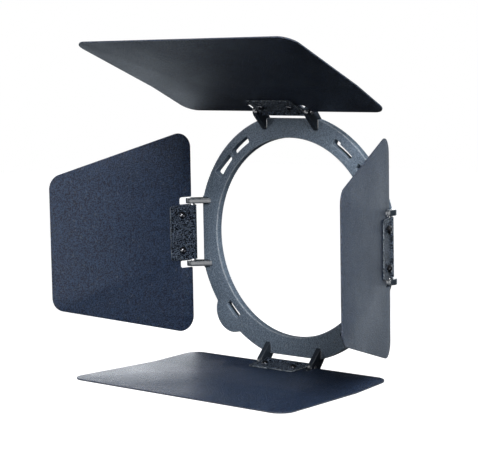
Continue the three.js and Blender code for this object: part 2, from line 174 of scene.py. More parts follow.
# %% Softboxes
def softbox(name, place, width, height, watts):
    """A rectangular area light that faces the middle of the ring."""
    light = bpy.data.lights.new(name, "AREA")
    light.shape = "RECTANGLE"
    light.size = width
    light.size_y = height
    light.energy = watts
    holder = bpy.data.objects.new(name, light)
    bpy.context.scene.collection.objects.link(holder)
    holder.location = place
    holder.rotation_euler = (-Vector(place)).to_track_quat("-Z", "Y").to_euler()
    return holder


softbox("main_softbox", (1.54, -1.16, 1.05), width=0.7, height=0.7, watts=58)
softbox("left_fill_softbox", (-1.64, -1.38, 0.50), width=0.9, height=1.2, watts=16)
for strip in (
    softbox("right_shine_strip", (1.02, -2.16, -0.25), width=2.6, height=0.9, watts=52),
    softbox("left_shine_strip", (-1.00, -2.18, -0.25), width=1.6, height=0.5, watts=17),
):
    strip.visible_diffuse = False
softbox("rear_softbox", (-1.7, 1.5, 0.4), width=1.4, height=1.4, watts=12)
softbox("top_softbox", (0.35, -1.00, 1.95), width=0.6, height=0.6, watts=14)

# %% Floor paper
def finish_with(material, shader):
    """Puts a shader on a material's output."""
    output = new_node(material.node_tree, "ShaderNodeOutputMaterial")
    material.node_tree.links.new(shader.outputs[0], output.inputs["Surface"])
    return material


def empty_material(name):
    """A material whose nodes are all still to be made."""
    material = bpy.data.materials.new(name)
    material.use_nodes = True
    material.node_tree.nodes.clear()
    return material


def plain_principled(tree, colour, roughness):
    """A shader of one colour and one roughness."""
    shader = new_node(tree, "ShaderNodeBsdfPrincipled", in_Roughness=roughness)
    shader.inputs["Base Color"].default_value = (*colour, 1)
    return shader


floor_paper = empty_material("white floor paper")
tree = floor_paper.node_tree
dim_paper = plain_principled(tree, (0.04, 0.04, 0.04), 0.9)
paper = plain_principled(tree, (0.42, 0.42, 0.42), 0.9)
glow = new_node(tree, "ShaderNodeEmission")
place = new_node(tree, "ShaderNodeTexCoord").outputs["Object"]
reach = new_node(tree, "ShaderNodeVectorMath", operation="LENGTH")
tree.links.new(place, reach.inputs[0])
glow_rise = ranged(tree, reach.outputs["Value"], low=0.86, high=1.0, start=0.9, stop=3.2,
                   blend="SMOOTHSTEP")
tree.links.new(glow_rise, glow.inputs["Strength"])
lit = new_node(tree, "ShaderNodeAddShader")
tree.links.new(paper.outputs[0], lit.inputs[0])
tree.links.new(glow.outputs[0], lit.inputs[1])
seen = new_node(tree, "ShaderNodeMixShader")
tree.links.new(new_node(tree, "ShaderNodeLightPath").outputs["Is Camera Ray"], seen.inputs[0])
tree.links.new(dim_paper.outputs[0], seen.inputs[1])
tree.links.new(lit.outputs[0], seen.inputs[2])
finish_with(floor_paper, seen)
print("paper:", floor_paper.name)

# %% Floor
floor_mesh = bpy.data.meshes.new("floor")
floor_drop = 0.32
floor_height = cad_low.z - floor_drop
half = 6.0
corners = [(-half, -half), (half, -half), (half, half), (-half, half)]
floor_mesh.from_pydata([(x, y, floor_height) for x, y in corners], [], [(0, 1, 2, 3)])
floor = bpy.data.objects.new("floor", floor_mesh)
floor.data.materials.append(floor_paper)
bpy.context.scene.collection.objects.link(floor)
floor.visible_glossy = False
print("floor", round(1000 * floor_drop), "mm below the part")

# %% Black card
card_felt = empty_material("black card")
finish_with(card_felt, plain_principled(card_felt.node_tree, (0.004, 0.004, 0.004), 0.9))
card_mesh = bpy.data.meshes.new("black_card")
card_left, card_right, card_half_height, card_place = -0.155, 0.105, 0.142, 0.012
card_mesh.from_pydata([
    (x, card_place, z) for x, z in (
        (card_left, -card_half_height), (card_right, -card_half_height),
        (card_right, card_half_height), (card_left, card_half_height),
    )
], [], [(0, 1, 2, 3)])
card = bpy.data.objects.new("black_card", card_mesh)
card.data.materials.append(card_felt)
bpy.context.scene.collection.objects.link(card)
card.visible_camera = False
card.visible_diffuse = False
card.visible_shadow = False
card.visible_transmission = False
print("card", round(1000 * (card_right - card_left)), "mm wide, seen by reflections only")

# %% [markdown]
# ## Shared effects
#
# Powder coat, moulded plastic and wrinkle coat are all rough at a small scale, and all get paler
# where hands and tools touch them. Their pale edges are partly wear and partly a painted highlight,
# the light that a rounded edge catches. Those effects are made once, as node groups, and each
# material uses them with values of its own.

# %% A grain for coats and plastics
def new_group(name, inputs, outputs):
    """A shader node group with its named sockets, and its two end nodes."""
    group = bpy.data.node_groups.new(name, "ShaderNodeTree")
    for title, kind, value in inputs:
        item = group.interface.new_socket(title, in_out="INPUT", socket_type=kind)
        if value is not None:
            item.default_value = value
    for title, kind in outputs:
        group.interface.new_socket(title, in_out="OUTPUT", socket_type=kind)
    return group, new_node(group, "NodeGroupInput"), new_node(group, "NodeGroupOutput")


def chain(tree, source, kind, **settings):
    """A node that takes source as its first input."""
    node = new_node(tree, kind, **settings)
    tree.links.new(source, node.inputs[0])
    return node


grain, start, end = new_group(
    "fine grain",
    [("Position", "NodeSocketVector", None), ("Size", "NodeSocketFloat", 0.001),
     ("Contrast", "NodeSocketFloat", 0.3), ("Detail", "NodeSocketFloat", 3.0)],
    [("Grain", "NodeSocketFloat"), ("Speckle", "NodeSocketFloat")],
)
per_metre = new_node(grain, "ShaderNodeMath", operation="DIVIDE")
per_metre.inputs[0].default_value = 1.0
grain.links.new(start.outputs["Size"], per_metre.inputs[1])
fine = new_node(grain, "ShaderNodeTexNoise", in_Roughness=0.65)
grain.links.new(start.outputs["Detail"], fine.inputs["Detail"])
grain.links.new(start.outputs["Position"], fine.inputs["Vector"])
grain.links.new(per_metre.outputs[0], fine.inputs["Scale"])
broad_share = 0.43
broad_scale = chain(grain, per_metre.outputs[0], "ShaderNodeMath", operation="MULTIPLY")
broad_scale.inputs[1].default_value = broad_share
broad = new_node(grain, "ShaderNodeTexNoise", in_Detail=2.0, in_Roughness=0.6)
grain.links.new(start.outputs["Position"], broad.inputs["Vector"])
grain.links.new(broad_scale.outputs[0], broad.inputs["Scale"])
speck = ranged(grain, broad.outputs["Fac"], 0, 1, start=0.60, stop=0.74, blend="SMOOTHSTEP")
centred = chain(grain, fine.outputs["Fac"], "ShaderNodeMath", operation="SUBTRACT")
centred.inputs[1].default_value = 0.5
scaled = chain(grain, centred.outputs[0], "ShaderNodeMath", operation="MULTIPLY")
grain.links.new(start.outputs["Contrast"], scaled.inputs[1])
lifted = chain(grain, scaled.outputs[0], "ShaderNodeMath", operation="ADD")
lifted.inputs[1].default_value = 0.5
grain.links.new(lifted.outputs[0], end.inputs["Grain"])
grain.links.new(speck, end.inputs["Speckle"])
print("group:", grain.name)

# %% Handling marks, and pale edges that are partly painted highlights
marks, start, end = new_group(
    "edge highlights and handling marks",
    [("Position", "NodeSocketVector", None), ("Edge", "NodeSocketFloat", 0.0),
     ("Edge Amount", "NodeSocketFloat", 0.5)],
    [("Smudge", "NodeSocketFloat"), ("Worn And Highlit Edge", "NodeSocketFloat"), ("Scuff", "NodeSocketFloat")],
)
cloud = new_node(marks, "ShaderNodeTexNoise", in_Scale=14.0, in_Detail=4.0, in_Roughness=0.55)
marks.links.new(start.outputs["Position"], cloud.inputs["Vector"])
smudge = ranged(marks, cloud.outputs["Fac"], 0, 1, start=0.35, stop=0.7, blend="SMOOTHSTEP")
marks.links.new(smudge, end.inputs["Smudge"])
patches = new_node(marks, "ShaderNodeTexNoise", in_Scale=260.0, in_Detail=3.0, in_Roughness=0.7)
marks.links.new(start.outputs["Position"], patches.inputs["Vector"])
uneven = ranged(marks, patches.outputs["Fac"], 0, 1, start=0.3, stop=0.62)
# Pale edges: partly wear and partly a painted highlight where the rounding catches the light.
worn_and_highlit = chain(marks, start.outputs["Edge"], "ShaderNodeMath", operation="MULTIPLY")
marks.links.new(uneven, worn_and_highlit.inputs[1])
amount = chain(marks, worn_and_highlit.outputs[0], "ShaderNodeMath", operation="MULTIPLY")
marks.links.new(start.outputs["Edge Amount"], amount.inputs[1])
marks.links.new(amount.outputs[0], end.inputs["Worn And Highlit Edge"])
stretched = new_node(marks, "ShaderNodeMapping")
stretched.inputs["Scale"].default_value = (9, 60, 30)
stretched.inputs["Rotation"].default_value = (0.5, 0.9, 0.4)
marks.links.new(start.outputs["Position"], stretched.inputs["Vector"])
scratch = new_node(marks, "ShaderNodeTexNoise", in_Scale=4.0, in_Detail=2.0, in_Roughness=0.5)
marks.links.new(stretched.outputs["Vector"], scratch.inputs["Vector"])
scuff = ranged(marks, scratch.outputs["Fac"], 0, 1, start=0.70, stop=0.76, blend="SMOOTHSTEP")
marks.links.new(scuff, end.inputs["Scuff"])
print("group:", marks.name)

# %% [markdown]
# ## Finishes
#
# The ring is a dark moulding. Its flat faces come out of a sandblasted mould with a matt, mottled
# grey skin, and its ears are smooth and nearly black. The leaves have a fine powder coat. The
# clamps have a coarse wrinkle coat, which hides the press marks of a folded strip. The screws and
# nuts are glossy black, and the rods are bright drawn steel.
#
# The coats differ in their numbers only, so one function makes them all. Its colours run from the
# pits of the grain to its crests, and the pale one is for specks and for worn edges, which are also
# a painted highlight on the edges.

# %% Groups and mixed colours in a material
def use_group(tree, group, **values):
    """A node that holds a group, with some of its inputs set."""
    node = new_node(tree, "ShaderNodeGroup")
    node.node_tree = group
    for name, value in values.items():
        node.inputs[name.replace("_", " ")].default_value = value
    return node


def mixed(tree, factor, low, high):
    """A colour between two colours or sockets, by a factor socket."""
    node = new_node(tree, "ShaderNodeMix", data_type="RGBA")
    tree.links.new(factor, node.inputs[0])
    for value, socket in ((low, node.inputs[6]), (high, node.inputs[7])):
        if isinstance(value, bpy.types.NodeSocket):
            tree.links.new(value, socket)
        else:
            socket.default_value = (*value, 1)
    return node.outputs[2]


print("groups ready for use:", [group.name for group in bpy.data.node_groups])

# %% One function for every coat
def coat(name, dark, light, pale, grain_size, contrast, bump, rough, edge_amount, specular=0.5,
         speckle=0.0, detail=3.0, tint=(1, 1, 1)):
    """A coat or a moulded skin: grain, smudges, pale edges and a bump of the same grain."""
    material = empty_material(name)
    tree = material.node_tree
    place = new_node(tree, "ShaderNodeTexCoord").outputs["Object"]
    edge = new_node(tree, "ShaderNodeAttribute", attribute_name="edge").outputs["Fac"]
    skin = use_group(tree, grain, Size=grain_size, Contrast=contrast, Detail=detail)
    wear_and_edge_highlight = use_group(tree, marks, Edge_Amount=edge_amount)
    for node in (skin, wear_and_edge_highlight):
        tree.links.new(place, node.inputs["Position"])
    tree.links.new(edge, wear_and_edge_highlight.inputs["Edge"])
    shader = new_node(tree, "ShaderNodeBsdfPrincipled")
    shader.inputs["Specular IOR Level"].default_value = specular
    shader.inputs["Specular Tint"].default_value = (*tint, 1)
    colour = mixed(tree, skin.outputs["Grain"], dark, light)
    # Pale specks: grain in most coats, and partly painted glints in the wrinkle coat.
    specks = ranged(tree, skin.outputs["Speckle"], 0, speckle)
    colour = mixed(tree, specks, colour, pale)
    # Pale edges: partly wear, partly a painted highlight.
    colour = mixed(tree, wear_and_edge_highlight.outputs["Worn And Highlit Edge"], colour, pale)
    tree.links.new(colour, shader.inputs["Base Color"])
    gloss = new_node(tree, "ShaderNodeMath", operation="ADD")
    smudged = ranged(tree, wear_and_edge_highlight.outputs["Smudge"], low=rough + 0.05, high=rough - 0.04)
    scuffed = ranged(tree, wear_and_edge_highlight.outputs["Scuff"], low=0, high=0.1)
    tree.links.new(smudged, gloss.inputs[0])
    tree.links.new(scuffed, gloss.inputs[1])
    tree.links.new(gloss.outputs[0], shader.inputs["Roughness"])
    relief = new_node(tree, "ShaderNodeBump", in_Strength=1.0)
    relief.inputs["Distance"].default_value = bump
    tree.links.new(skin.outputs["Grain"], relief.inputs["Height"])
    tree.links.new(relief.outputs["Normal"], shader.inputs["Normal"])
    return finish_with(material, shader)


print("materials before the coats:", [material.name for material in bpy.data.materials])

# %% The coats
moulded_skin = coat(
    "moulded plastic skin",
    dark=(0.082, 0.110, 0.150), light=(0.200, 0.258, 0.330), pale=(0.46, 0.49, 0.52),
    grain_size=0.0013, contrast=4.0, bump=0.00014, rough=0.50, edge_amount=0.80,
    specular=0.12, speckle=0.35,
)
smooth_moulding = coat(
    "smooth black moulding",
    dark=(0.014, 0.019, 0.026), light=(0.036, 0.046, 0.060), pale=(0.12, 0.13, 0.15),
    grain_size=0.0020, contrast=1.0, bump=0.00001, rough=0.18, edge_amount=0.25,
)
powder_coat = coat(
    "leaf powder coat",
    dark=(0.001, 0.004, 0.015), light=(0.024, 0.045, 0.094), pale=(0.17, 0.18, 0.20),
    grain_size=0.0014, contrast=8.0, bump=0.00014, rough=0.36, edge_amount=0.30,
    specular=0.35, speckle=0.25,
)
# Pale crests and specks here are partly the coat's grain and partly painted glints of wrinkles.
wrinkle_coat = coat(
    "clamp wrinkle coat",
    dark=(0.001, 0.002, 0.005), light=(0.105, 0.135, 0.190), pale=(0.34, 0.38, 0.42),
    grain_size=0.0013, contrast=9.0, bump=0.0007, rough=0.22, edge_amount=0.95,
    specular=0.3, speckle=0.4, detail=0.4, tint=(0.75, 0.88, 1.0),
)
print("coats:", [m.name for m in bpy.data.materials if "coat" in m.name or "skin" in m.name])

# %% Bright steel and black screws
def metal(name, base, rough, streak):
    """Bare or blackened steel, with turning marks across it."""
    material = empty_material(name)
    tree = material.node_tree
    place = new_node(tree, "ShaderNodeTexCoord").outputs["Object"]
    shader = new_node(tree, "ShaderNodeBsdfPrincipled", in_Metallic=1.0)
    lines = new_node(tree, "ShaderNodeTexNoise", in_Scale=1600.0, in_Detail=2.0)
    tree.links.new(place, lines.inputs["Vector"])
    streaky = ranged(tree, lines.outputs["Fac"], rough - streak, rough + streak)
    tree.links.new(streaky, shader.inputs["Roughness"])
    darker = tuple(0.75 * channel for channel in base)
    tree.links.new(mixed(tree, lines.outputs["Fac"], darker, base), shader.inputs["Base Color"])
    return finish_with(material, shader)


drawn_steel = metal("drawn steel", base=(0.58, 0.58, 0.60), rough=0.3, streak=0.12)
black_screw_steel = metal("black screw steel", base=(0.085, 0.087, 0.095), rough=0.20, streak=0.08)
print("metals:", drawn_steel.name, "and", black_screw_steel.name)

# %% [markdown]
# ## Sheet parts
#
# Ring, ears, leaves and clamps all start as a flat outline. One helper cuts an outline out of a
# plate, with rounded edges all round and inside its holes. A modifier could round the edges
# too, but rows of points that step inwards give clean rings of faces and tell us which points lie
# on an edge, and the materials use that to make edges paler, partly as wear and partly as a
# painted highlight.

# %% Outlines in millimetres
arc_fineness = 0.35
fewest_arc_steps, most_arc_steps = 4, 24


def rounded_outline(corners):
    """Points round a closed outline of corners (x, y, radius), each corner an arc."""
    points = []
    count = len(corners)
    for i, (x, y, radius) in enumerate(corners):
        corner = Vector((x, y))
        before = (Vector(corners[i - 1][:2]) - corner).normalized()
        after = (Vector(corners[(i + 1) % count][:2]) - corner).normalized()
        if radius == 0:
            points.append(corner)
            continue
        half_angle = before.angle(after) / 2
        centre = corner + (before + after).normalized() * radius / math.sin(half_angle)
        first = corner + before * radius / math.tan(half_angle)
        last = corner + after * radius / math.tan(half_angle)
        arc_length = radius * (math.pi - 2 * half_angle)
        steps = math.ceil(arc_length / arc_fineness)
        steps = max(fewest_arc_steps, min(most_arc_steps, steps))
        start_arm, end_arm = first - centre, last - centre
        turn = start_arm.angle_signed(end_arm)
        for k in range(steps + 1):
            points.append(centre + Matrix.Rotation(-turn * k / steps, 2) @ start_arm)
    return points


square = rounded_outline([(0, 0, 1), (9, 0, 1), (9, 9, 1), (0, 9, 1)])
print("a rounded square has", len(square), "points")

# %% Inside and outside of an outline
def signed_area(points):
    """The area inside an outline, below zero where it runs clockwise."""
    return sum(a.cross(b) for a, b in zip(points, points[1:] + points[:1])) / 2


def inward_normals(points, outer):
    """At each point, the step that moves both its sides by 1 into the material."""
    if (signed_area(points) > 0) != outer:
        points.reverse()
    steps = []
    for i, point in enumerate(points):
        one = (point - points[i - 1]).normalized()
        two = (points[(i + 1) % len(points)] - point).normalized()
        left_one, left_two = Vector((-one.y, one.x)), Vector((-two.y, two.x))
        steps.append((left_one + left_two) / max(0.3, 1 + left_one.dot(left_two)))
    return steps


def circle(radius, steps, x=0.0, y=0.0):
    """Points round a circle about (x, y)."""
    turns = [2 * math.pi * k / steps for k in range(steps)]
    return [Vector((x + radius * math.cos(t), y + radius * math.sin(t))) for t in turns]


print("the square covers", round(signed_area(square), 2), "square mm, a circle of radius 5",
      round(signed_area(circle(5, 240)), 2))

# %% A plate with rounded edges
# Thick plates get pale on their rounded edges only, and sheet on its whole narrow side. The
# paleness is partly wear and partly a painted highlight.
thick_from = 3.0


def rounded_plate(contours, thickness, arc_steps=3):
    """A bmesh plate from z = 0 to thickness. The first contour is the outside; others are holes.
    Each contour is (points, edge rounding)."""
    plate = bmesh.new()
    wear_and_edge_highlight = plate.verts.layers.float.new("edge")
    rims = {0: [], 1: []}
    for number, (points, rounding) in enumerate(contours):
        points = list(points)
        steps = inward_normals(points, number == 0)
        rows = []
        quarter = [math.pi / 2 * k / arc_steps for k in range(arc_steps + 1)]
        for turn in quarter:
            rows.append((rounding * (1 - math.sin(turn)), rounding * (1 - math.cos(turn)), turn))
        rows += [(inset, thickness - height, turn) for inset, height, turn in reversed(rows)]
        rings = []
        for inset, height, turn in rows:
            ring = [plate.verts.new((*(p + inset * s), height)) for p, s in zip(points, steps)]
            for vert in ring:
                # The mask for pale edges, which are partly wear and partly a painted highlight.
                vert[wear_and_edge_highlight] = math.sin(2 * turn) if thickness > thick_from else math.sin(turn)
            rings.append(ring)
        for low, high in zip(rings, rings[1:]):
            for i in range(len(points)):
                plate.faces.new((low[i - 1], low[i], high[i], high[i - 1]))
        for side, ring in ((0, rings[0]), (1, rings[-1])):
            rims[side] += [plate.edges.get((ring[i - 1], ring[i])) for i in range(len(points))]
    for side in (0, 1):
        bmesh.ops.triangle_fill(plate, use_beauty=True, use_dissolve=False, edges=rims[side])
    bmesh.ops.recalc_face_normals(plate, faces=plate.faces)
    return plate


sample = rounded_plate([(circle(10, 32), 1.0), (circle(4, 32), 0.5)], 4)
print("a washer has", len(sample.faces), "faces")

# %% Cuts for bending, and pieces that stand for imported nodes
def cut_across(plate, direction, places):
    """Cuts rows of edges into a plate, so that it can bend there."""
    axis = Vector(direction)
    for place in places:
        parts = plate.verts[:] + plate.edges[:] + plate.faces[:]
        bmesh.ops.bisect_plane(plate, geom=parts, plane_co=axis * place, plane_no=axis, dist=1e-5)
    return plate


MM = Matrix.Scale(0.001, 4)
sharp_from = math.radians(40)


def add_piece(name, parts, place, body, material, replaced):
    """Joins parts, each a bmesh in millimetres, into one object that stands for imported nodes."""
    mesh = bpy.data.meshes.new(name)
    whole = bmesh.new()
    whole.verts.layers.float.new("edge")
    for part in parts:
        part.to_mesh(mesh)
        whole.from_mesh(mesh)
        part.free()
    whole.transform(place @ MM)
    whole.to_mesh(mesh)
    whole.free()
    mesh.materials.append(material)
    mesh.shade_smooth()
    mesh.set_sharp_from_angle(angle=sharp_from)
    piece = bpy.data.objects.new(name, mesh)
    bpy.context.scene.collection.objects.link(piece)
    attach(piece, body)
    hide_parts(*replaced)
    return piece


cut_across(sample, (1, 0, 0), [-5, 0, 5])
print("cut across three times it has", len(sample.faces))
sample.free()

# %% [markdown]
# ## Where things are
#
# All four hinges are the same, a quarter turn apart about the ring's axis. So each piece is made
# for the hinge at the top and then turned to its own side. Leaf and clamp also turn about the rod
# by the angle at which the leaf stands open.

# %% Hinge stations
ring_thickness = 8.0
flat_distance = 119.5
rod_distance = 126.5
rod_forward = 16.0
rod_radius = 2.5
ear_gap = 60.0
ear_thickness = 5.6
ear_outer = ear_gap / 2 + ear_thickness

side_turns = {"top": 0, "right": 90, "bottom": 180, "left": -90}
open_angles = {"top": 26.8, "bottom": 2.9, "left": 14.4, "right": 22.0}
stations = {side: Matrix.Rotation(math.radians(turn), 4, "Y") for side, turn in side_turns.items()}
rods = {
    side: station @ Matrix.Translation((0, -rod_forward / 1000, rod_distance / 1000))
    for side, station in stations.items()
}
hinges = {
    side: rods[side] @ Matrix.Rotation(-math.radians(open_angles[side]), 4, "X") for side in rods
}
for side in side_turns:
    rod_low, rod_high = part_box(side + "_hinge_rod")
    gap = (rod_low + rod_high) / 2 - rods[side].translation
    print(side, "rod is", round(1000 * gap.length, 3), "mm from the packed one")

# %% [markdown]
# ## Ring
#
# The ring is one moulding: a plate with a round opening, a rim with four flats, a round lug at its
# lower left, curved slots, and a pair of ears under each hinge. The rim is found by asking, in
# each direction, how far the material reaches: to the circle or the flat, or to the lug where
# that reaches further.

# %% Rim
opening_radius = 100.0
rim_radius = 124.0
edge_round = 1.2
lug_angle = math.radians(-135)
lug_distance = 113.4
lug_radius = 22.8


def rim_reach(angle):
    """Distance from the axis to the rim in one direction."""
    flat = flat_distance / max(abs(math.cos(angle)), abs(math.sin(angle)))
    reach = min(rim_radius, flat)
    off = angle - lug_angle
    if math.cos(off) > 0 and abs(lug_distance * math.sin(off)) < lug_radius:
        across = lug_distance * math.sin(off)
        reach = max(reach, lug_distance * math.cos(off) + math.sqrt(lug_radius**2 - across**2))
    return reach


def at_angle(radius, degrees):
    """A point at a distance from the axis, in a direction given in degrees."""
    angle = math.radians(degrees)
    return Vector((radius * math.cos(angle), radius * math.sin(angle)))


def slot_corner(angle, radius, quarter, way, size):
    """A quarter circle in a slot's corner. way is 1 where the slot goes on to larger angles."""
    lift = -size if quarter in (0, 270) else size
    centre = at_angle(radius + lift, angle) + way * size * at_angle(1, angle + 90)
    return [centre + size * at_angle(1, angle + quarter + 15 * k) for k in range(7)]


def along(radius, start, stop):
    """Points along a circle, set in from both ends."""
    return [at_angle(radius, start + (stop - start) * k / 13) for k in range(2, 12)]


rim = [at_angle(rim_reach(math.radians(k / 2)), k / 2) for k in range(720)]
reaches = [p.length for p in rim]
print("rim from", round(min(reaches), 1), "to", round(max(reaches), 1), "mm")

# %% [markdown]
# The slot at the upper right is a keyhole: a head goes in at the wide end and slides along the
# narrow one. The rest are plain, but the one at the left widens towards its lower end. Outlines of
# rounded corners and arcs keep every slot true to the ring's curve, which a slot cut as a straight
# box and then bent would not.

# %% Outlines of slots
slot_inner = 108.6
slot_outer = 115.4
slot_rounding, keyhole_rounding = 1.8, 1.4
channel_outer = 113.6
long_slot = 13.4
keyhole_first = 47.2
keyhole_last = keyhole_first + long_slot
head_first = keyhole_last - 4.2


def slot_outline(first, last, flare=0.0):
    """A slot that follows the ring from one angle to another, with rounded corners. With a
    flare, its outer edge is straight and ends that much further out than it starts."""
    return (
        slot_corner(last, slot_outer + flare, 0, -1, slot_rounding)
        + slot_corner(last, slot_inner, 90, -1, slot_rounding)
        + along(slot_inner, last, first)
        + slot_corner(first, slot_inner, 180, 1, slot_rounding)
        + slot_corner(first, slot_outer, 270, 1, slot_rounding)
        + ([] if flare else along(slot_outer, first, last))
    )


def keyhole_outline():
    """A channel that opens into a wider head."""
    head = slot_corner(head_first, slot_outer, 270, 1, keyhole_rounding)
    past_channel = channel_outer + 0.2
    return (
        slot_corner(keyhole_last, slot_outer, 0, -1, keyhole_rounding)
        + slot_corner(keyhole_last, slot_inner, 90, -1, keyhole_rounding)
        + along(slot_inner, keyhole_last, keyhole_first)
        + slot_corner(keyhole_first, slot_inner, 180, 1, keyhole_rounding)
        + slot_corner(keyhole_first, channel_outer, 270, 1, keyhole_rounding)
        + along(channel_outer, keyhole_first, head_first)
        + [at_angle(channel_outer, head_first)]
        + [p for p in head if p.length > past_channel]
    )


print("the keyhole's outline has", len(keyhole_outline()), "points")

# %% The ring's slots
slot_edge_round = 0.45
slot_web = 2
left_first, left_flare = 180 + slot_web - keyhole_first, 3.2
right_first, right_last = 32.4, 42.0
lower_right_first = -57.0
lug_slot_first, lug_slot_last = -140.2, -129.8

slots = {
    "keyhole": keyhole_outline(),
    "upper_left": slot_outline(180 - keyhole_last, 180 - keyhole_first),
    "left": slot_outline(left_first, left_first + long_slot, left_flare),
    "right": slot_outline(right_first, right_last),
    "lower_right": slot_outline(lower_right_first, lower_right_first + long_slot),
    "lug": slot_outline(lug_slot_first, lug_slot_last),
}
for name, points in slots.items():
    print(name, "slot:", len(points), "points,", round(abs(signed_area(points))), "square mm")

# %% [markdown]
# Each ear is a small triangle with a round tip about the rod, bored for it. It stands on the
# ring with a concave fillet on both sides, which a mould needs and which shows as a bright line.

# %% Ears
ear_tip_radius = 7.0
ear_root = 107.5
ear_edge_round, bore_edge_round = 0.6, 0.25
bore_room = 0.12


def ear_outline():
    """Side view of the ear of the top hinge: x is forward from the rear face, y is up."""
    rod_place = Vector((rod_forward, rod_distance))
    # Foot, root and rear lie inside the ring's plate, so no gap shows where the ear stands on it.
    foot = Vector((ring_thickness - 4.0, ear_root + 1))
    root = Vector((ring_thickness - 1.0, ear_root - 0.7))
    rear = Vector((edge_round, flat_distance - 0.5))
    points = [foot, root]
    sides = []
    for place, way in ((root, 1), (rear, -1)):
        reach = place - rod_place
        sides.append(math.atan2(reach.y, reach.x) + way * math.acos(ear_tip_radius / reach.length))
    first, last = sides
    while last < first:
        last += 2 * math.pi
    for k in range(25):
        angle = first + (last - first) * k / 24
        points.append(rod_place + ear_tip_radius * Vector((math.cos(angle), math.sin(angle))))
    return points + [rear]


def make_ear(middle):
    """An ear whose middle lies at x = middle."""
    bore = circle(rod_radius + bore_room, 32, rod_forward, rod_distance)
    contours = [(ear_outline(), ear_edge_round), (bore, bore_edge_round)]
    ear = rounded_plate(contours, ear_thickness)
    ear.transform(
        Matrix.Translation((middle + ear_thickness / 2, 0, 0))
        @ Matrix(((0, 0, -1, 0), (-1, 0, 0, 0), (0, 1, 0, 0), (0, 0, 0, 1)))
    )
    return ear


ear = make_ear(0)
print("an ear has", len(ear.faces), "faces")
ear.free()

# %% Fillets beside the ears
ear_fillet = 2.0
fillet_start = ear_root + 2.5


def make_fillet(x, side):
    """The concave corner between an ear's side at x and the ring's front face."""
    fillet = bmesh.new()
    fillet.verts.layers.float.new("edge")
    sunk = 0.4
    foot = -ring_thickness + sunk
    profile = [(x - side * sunk, foot), (x + side * ear_fillet, foot)]
    for k in range(7):
        turn = math.pi / 2 * k / 6
        profile.append((
            x + side * ear_fillet * (1 - math.sin(turn)),
            -ring_thickness - ear_fillet * (1 - math.cos(turn)),
        ))
    profile.append((x - side * sunk, -ring_thickness - ear_fillet))
    ends = [
        [fillet.verts.new((px, py, height)) for px, py in profile]
        for height in (fillet_start, flat_distance - edge_round)
    ]
    for i in range(len(profile)):
        fillet.faces.new((ends[0][i - 1], ends[0][i], ends[1][i], ends[1][i - 1]))
    for end_points in ends:
        fillet.faces.new(end_points)
    bmesh.ops.recalc_face_normals(fillet, faces=fillet.faces)
    return fillet


fillet = make_fillet(0, 1)
print("a fillet has", len(fillet.faces), "faces")
fillet.free()

# %% Ring in one piece
def make_ring():
    """The plate, stood up with its rear face at y = 0, and the ears and fillets of four hinges."""
    contours = [(rim, edge_round), (circle(opening_radius, 240), edge_round)]
    contours += [(points, slot_edge_round) for points in slots.values()]
    plate = rounded_plate(contours, ring_thickness, arc_steps=4)
    plate.transform(Matrix(((1, 0, 0, 0), (0, 0, -1, 0), (0, 1, 0, 0), (0, 0, 0, 1))))
    parts = [plate]
    skin_height = ring_thickness + 0.2
    for station in stations.values():
        for way in (-1, 1):
            middle = way * (ear_gap + ear_thickness) / 2
            parts.append(make_ear(middle))
            parts.append(make_fillet(middle - ear_thickness / 2, -1))
            parts.append(make_fillet(middle + ear_thickness / 2, 1))
            for part in parts[-3:]:
                part.transform(station)
                for face in part.faces:
                    face.material_index = 1
            for fillet in parts[-2:]:
                for face in fillet.faces:
                    on_plate = min(-vert.co.y for vert in face.verts) < skin_height
                    face.material_index = 0 if on_plate else 1
    return parts


ring = add_piece("ring_moulding", make_ring(), Matrix.Identity(4), "ring", moulded_skin,
                 ["ring_frame"])
ring.data.materials.append(smooth_moulding)
print(ring.name, "has", len(ring.data.polygons), "faces")

# %% [markdown]
# ## Leaves
#
# A leaf is one sheet with round corners and a notch round each ear. The wide leaves above and
# below have a faint crease where the press folded them, so their blanks are cut across there and
# everything beyond the crease is turned by a few degrees.

# %% Leaf blanks
sheet = 1.5
leaf_edge_round = 0.3
room_inside_ear, room_outside_ear = 0.5, 1.2
wide_leaf = {"hinge": 253.8, "outer": 272.6, "reach": 170.4, "crease": 57.6, "angle": 3.2}
side_leaf = {"hinge": 215.2, "outer": 130.8, "reach": 166.6, "crease": 0.0, "angle": 0.0}


def leaf_outline(size):
    """A tongue between the ears, a notch for each ear, and the leaf's four round corners."""
    tongue, tongue_start = ear_gap / 2 - room_inside_ear, -3.5
    notch, notch_end = ear_outer + room_outside_ear, -16.0
    hinge_edge = -1.5
    tip_corner, slight_corner, notch_corner, leaf_corner = 0.3, 1.25, 2.5, 15.0
    right_half = [
        (tongue, tongue_start, tip_corner), (tongue, notch_end, slight_corner),
        (notch, notch_end, notch_corner), (notch, hinge_edge, slight_corner),
        (size["hinge"] / 2, hinge_edge, leaf_corner),
        (size["outer"] / 2, -size["reach"], leaf_corner),
    ]
    left_half = [(-x, y, radius) for x, y, radius in reversed(right_half)]
    return rounded_outline(right_half + left_half)


for name, size in (("wide", wide_leaf), ("side", side_leaf)):
    print("a", name, "blank covers", round(abs(signed_area(leaf_outline(size)))), "square mm")

# %% Cut, crease and place the leaves
crease_softness = 3.0


